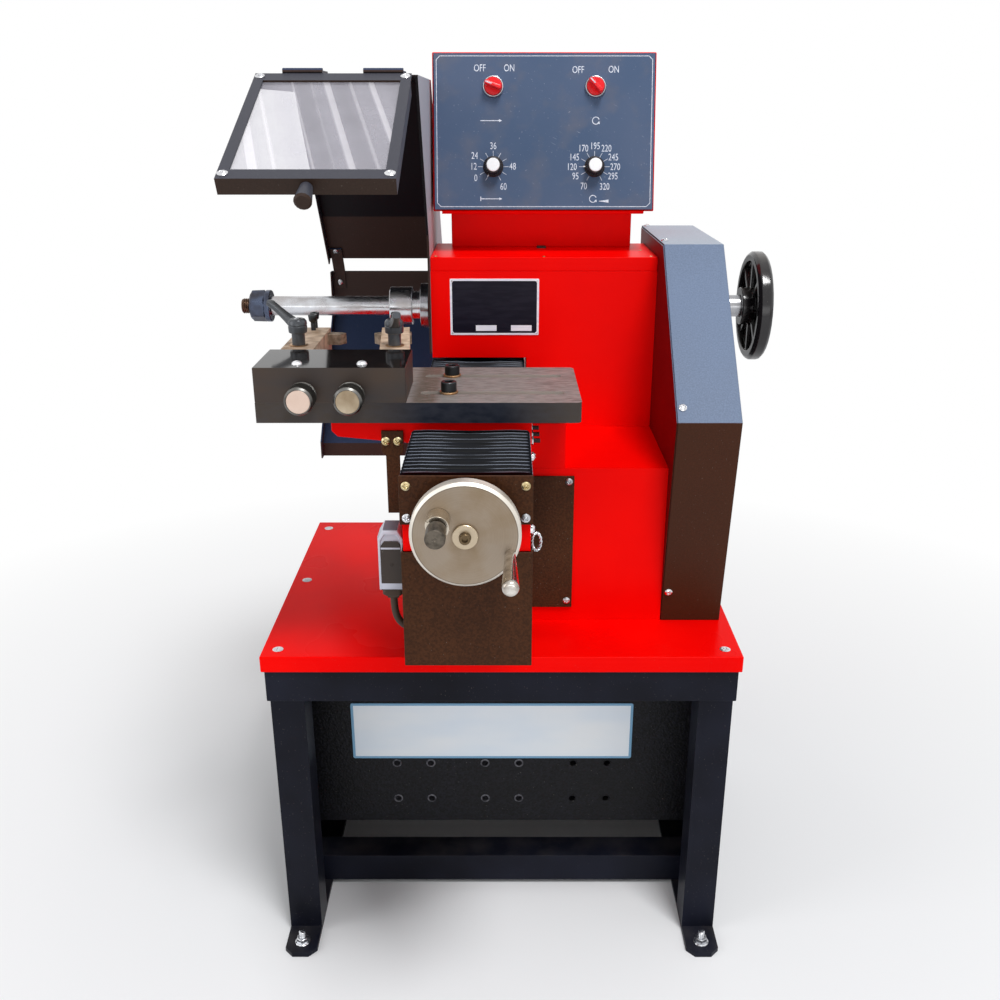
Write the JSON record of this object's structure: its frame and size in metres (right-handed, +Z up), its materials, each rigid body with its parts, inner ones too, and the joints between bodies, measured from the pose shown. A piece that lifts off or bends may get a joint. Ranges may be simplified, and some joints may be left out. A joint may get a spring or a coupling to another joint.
{
  "type": "brake disc lathe",
  "caption": "Floor-standing brake disc lathe with tool arms on a cross slide, a hinged chip guard, a belt cover with a handwheel and a tilted control box.",
  "frame": {"origin": "centre of the machine's footprint box, on the floor", "axes": "+Z up, +X to the operator's right along the spindle, +Y away from the operator along the cross slide"},
  "size_m": [0.682, 0.829, 1.056],
  "materials": {
    "red_paint": "gloss red paint",
    "black_paint": "satin blue-black paint",
    "textured_black": "hammertone black paint",
    "rubber": "matt black rubberised cloth",
    "black_plastic": "glossy black moulded plastic",
    "bare_steel": "turned steel",
    "bright_steel": "ground bright steel",
    "worn_steel": "worn steel with brown stains",
    "dark_steel": "black oxide steel",
    "motor_paint": "grey motor enamel",
    "grey_plastic": "grey moulded plastic",
    "panel_slate": "slate blue printed panel",
    "red_plastic": "glossy red plastic",
    "clear_plastic": "clear acrylic sheet"
  },
  "bodies": {
    "stand_and_frame": {"stand_top_frame": "black_paint", "stand_side_left": "black_paint", "stand_side_right": "black_paint", "stand_lower_rail": "black_paint", "stand_front_panel": "textured_black", "stand_back_panel": "black_paint", "table_top": "red_paint", "base_housing": "red_paint", "base_cover_plate": "textured_black", "bed_casting": "red_paint", "bed_front_cover": "textured_black", "bellows_clamp_plate": "textured_black", "front_bellows": "rubber", "rear_bellows": "rubber", "feed_motor": "motor_paint", "feed_belt": "rubber", "limit_switch": "grey_plastic", "limit_switch_cable": "rubber", "headstock": "red_paint", "headstock_lid": "red_paint", "spindle_bearing_sleeve": "bright_steel", "drive_motor": "motor_paint", "drive_belt": "rubber", "belt_cover": "black_paint", "belt_back_plate": "red_paint", "control_box": "red_paint", "control_panel": "panel_slate", "guard_hood": "black_paint", "guard_lower": "black_paint"},
    "spindle_assembly": {"spindle": "bright_steel", "arbor": "bright_steel", "arbor_nut": "dark_steel", "spindle_pulley": "bare_steel", "handwheel": "black_plastic"},
    "motor_rotor": {"motor_pulley": "bare_steel"},
    "feed_screw_assembly": {"feed_screw": "bright_steel", "feed_dial": "bare_steel"},
    "crank_handle": {"crank_handle": "bright_steel"},
    "feed_plunger": {"feed_plunger": "dark_steel"},
    "feed_motor_rotor": {"feed_motor_pulley": "bare_steel"},
    "slide_assembly": {"cross_slide": "red_paint", "trip_strap": "black_paint", "plate_clamp_screws": "dark_steel"},
    "tool_plate_assembly": {"tool_plate": "worn_steel", "tool_block": "black_paint"},
    "depth_knob_left": {"depth_knob_left": "dark_steel"},
    "depth_knob_right": {"depth_knob_right": "dark_steel"},
    "tool_arm_left_assembly": {"tool_arm_left": "worn_steel", "tool_bit_left": "dark_steel"},
    "tool_arm_right_assembly": {"tool_arm_right": "worn_steel", "tool_bit_right": "dark_steel"},
    "clamp_lever_left": {"clamp_lever_left": "dark_steel"},
    "clamp_lever_right": {"clamp_lever_right": "dark_steel"},
    "limit_switch_plunger": {"limit_switch_plunger": "dark_steel"},
    "visor": {"visor_frame": "black_paint", "visor_pane": "clear_plastic"},
    "feed_switch": {"feed_switch": "red_plastic"},
    "spindle_switch": {"spindle_switch": "red_plastic"},
    "feed_rate_knob": {"feed_rate_knob": "black_plastic"},
    "spindle_speed_knob": {"spindle_speed_knob": "black_plastic"}
  },
  "joints": [
    {"name": "spindle_spin", "type": "hinge", "parent": "stand_and_frame", "child": "spindle_assembly", "pos_m": [0, 0.1945, 0.749], "axis": [1, 0, 0], "continuous": true},
    {"name": "motor_spin", "type": "hinge", "parent": "stand_and_frame", "child": "motor_rotor", "pos_m": [0.17, 0.1145, 0.5], "axis": [1, 0, 0], "continuous": true},
    {"name": "feed_screw_turn", "type": "hinge", "parent": "stand_and_frame", "child": "feed_screw_assembly", "pos_m": [-0.0305, -0.2305, 0.645], "axis": [0, 1, 0], "range_deg": [-5610, 5755]},
    {"name": "feed_slide", "type": "slide", "parent": "stand_and_frame", "child": "slide_assembly", "axis": [0, 1, 0], "range_m": [-0.078, 0.08], "deforming": ["front_bellows", "rear_bellows"]},
    {"name": "feed_motor_spin", "type": "hinge", "parent": "stand_and_frame", "child": "feed_motor_rotor", "pos_m": [-0.0305, -0.2705, 0.545], "axis": [0, 1, 0], "range_deg": [-5620, 5765]},
    {"name": "crank_handle_spin", "type": "hinge", "parent": "feed_screw_assembly", "child": "crank_handle", "pos_m": [0.0085, -0.3805, 0.628], "axis": [0, 1, 0], "continuous": true},
    {"name": "feed_plunger_pull", "type": "slide", "parent": "feed_screw_assembly", "child": "feed_plunger", "axis": [0, -1, 0], "range_m": [0, 0.008], "stiffness_N_per_m": 600, "springref_m": -0.003},
    {"name": "tool_plate_shift", "type": "slide", "parent": "slide_assembly", "child": "tool_plate_assembly", "axis": [1, 0, 0], "range_m": [-0.1, 0.02]},
    {"name": "depth_knob_left_turn", "type": "hinge", "parent": "tool_plate_assembly", "child": "depth_knob_left", "pos_m": [-0.193, -0.1905, 0.73], "axis": [0, 1, 0], "range_deg": [-90, 90]},
    {"name": "depth_knob_right_turn", "type": "hinge", "parent": "tool_plate_assembly", "child": "depth_knob_right", "pos_m": [-0.146, -0.1905, 0.73], "axis": [0, 1, 0], "range_deg": [-90, 90]},
    {"name": "tool_arm_left_swivel", "type": "hinge", "parent": "tool_plate_assembly", "child": "tool_arm_left_assembly", "pos_m": [-0.219, -0.0625, 0.736], "axis": [0, 0, 1], "range_deg": [-3.1, 3.1]},
    {"name": "tool_arm_right_swivel", "type": "hinge", "parent": "tool_plate_assembly", "child": "tool_arm_right_assembly", "pos_m": [-0.115, -0.0645, 0.736], "axis": [0, 0, 1], "range_deg": [-3.1, 3.1]},
    {"name": "clamp_lever_left_turn", "type": "hinge", "parent": "tool_plate_assembly", "child": "clamp_lever_left", "pos_m": [-0.219, -0.0625, 0.765], "axis": [0, 0, 1], "range_deg": [-45, 45]},
    {"name": "clamp_lever_right_turn", "type": "hinge", "parent": "tool_plate_assembly", "child": "clamp_lever_right", "pos_m": [-0.115, -0.0645, 0.765], "axis": [0, 0, 1], "range_deg": [-45, 45]},
    {"name": "limit_switch_plunger_press", "type": "slide", "parent": "stand_and_frame", "child": "limit_switch_plunger", "axis": [0, -1, 0], "range_m": [0, 0.003], "stiffness_N_per_m": 400, "springref_m": -0.002},
    {"name": "visor_tilt", "type": "hinge", "parent": "stand_and_frame", "child": "visor", "pos_m": [-0.176, 0.0095, 1.028], "axis": [1, 0, 0], "range_deg": [-100, 50]},
    {"name": "feed_switch_turn", "type": "hinge", "parent": "stand_and_frame", "child": "feed_switch", "pos_m": [-0.0105, 0.18428, 1.01787], "axis": [0, 0.9781, -0.2079], "range_deg": [0, 90]},
    {"name": "spindle_switch_turn", "type": "hinge", "parent": "stand_and_frame", "child": "spindle_switch", "pos_m": [0.1145, 0.18428, 1.01787], "axis": [0, 0.9781, -0.2079], "range_deg": [0, 90]},
    {"name": "feed_rate_turn", "type": "hinge", "parent": "stand_and_frame", "child": "feed_rate_knob", "pos_m": [-0.0105, 0.16474, 0.92592], "axis": [0, 0.9781, -0.2079], "range_deg": [-150, 150]},
    {"name": "spindle_speed_turn", "type": "hinge", "parent": "stand_and_frame", "child": "spindle_speed_knob", "pos_m": [0.1145, 0.16474, 0.92592], "axis": [0, 0.9781, -0.2079], "range_deg": [-150, 150]}
  ],
  "couplings": [
    {"joint": "motor_spin", "follows": "spindle_spin", "ratio": 2.69},
    {"joint": "feed_slide", "follows": "feed_screw_turn", "m_per_rad": 0.00079577},
    {"joint": "feed_motor_spin", "follows": "feed_screw_turn", "ratio": 1},
    {"joint": "tool_arm_left_swivel", "follows": "depth_knob_left_turn", "ratio": -0.033333},
    {"joint": "tool_arm_right_swivel", "follows": "depth_knob_right_turn", "ratio": 0.033333}
  ]
}
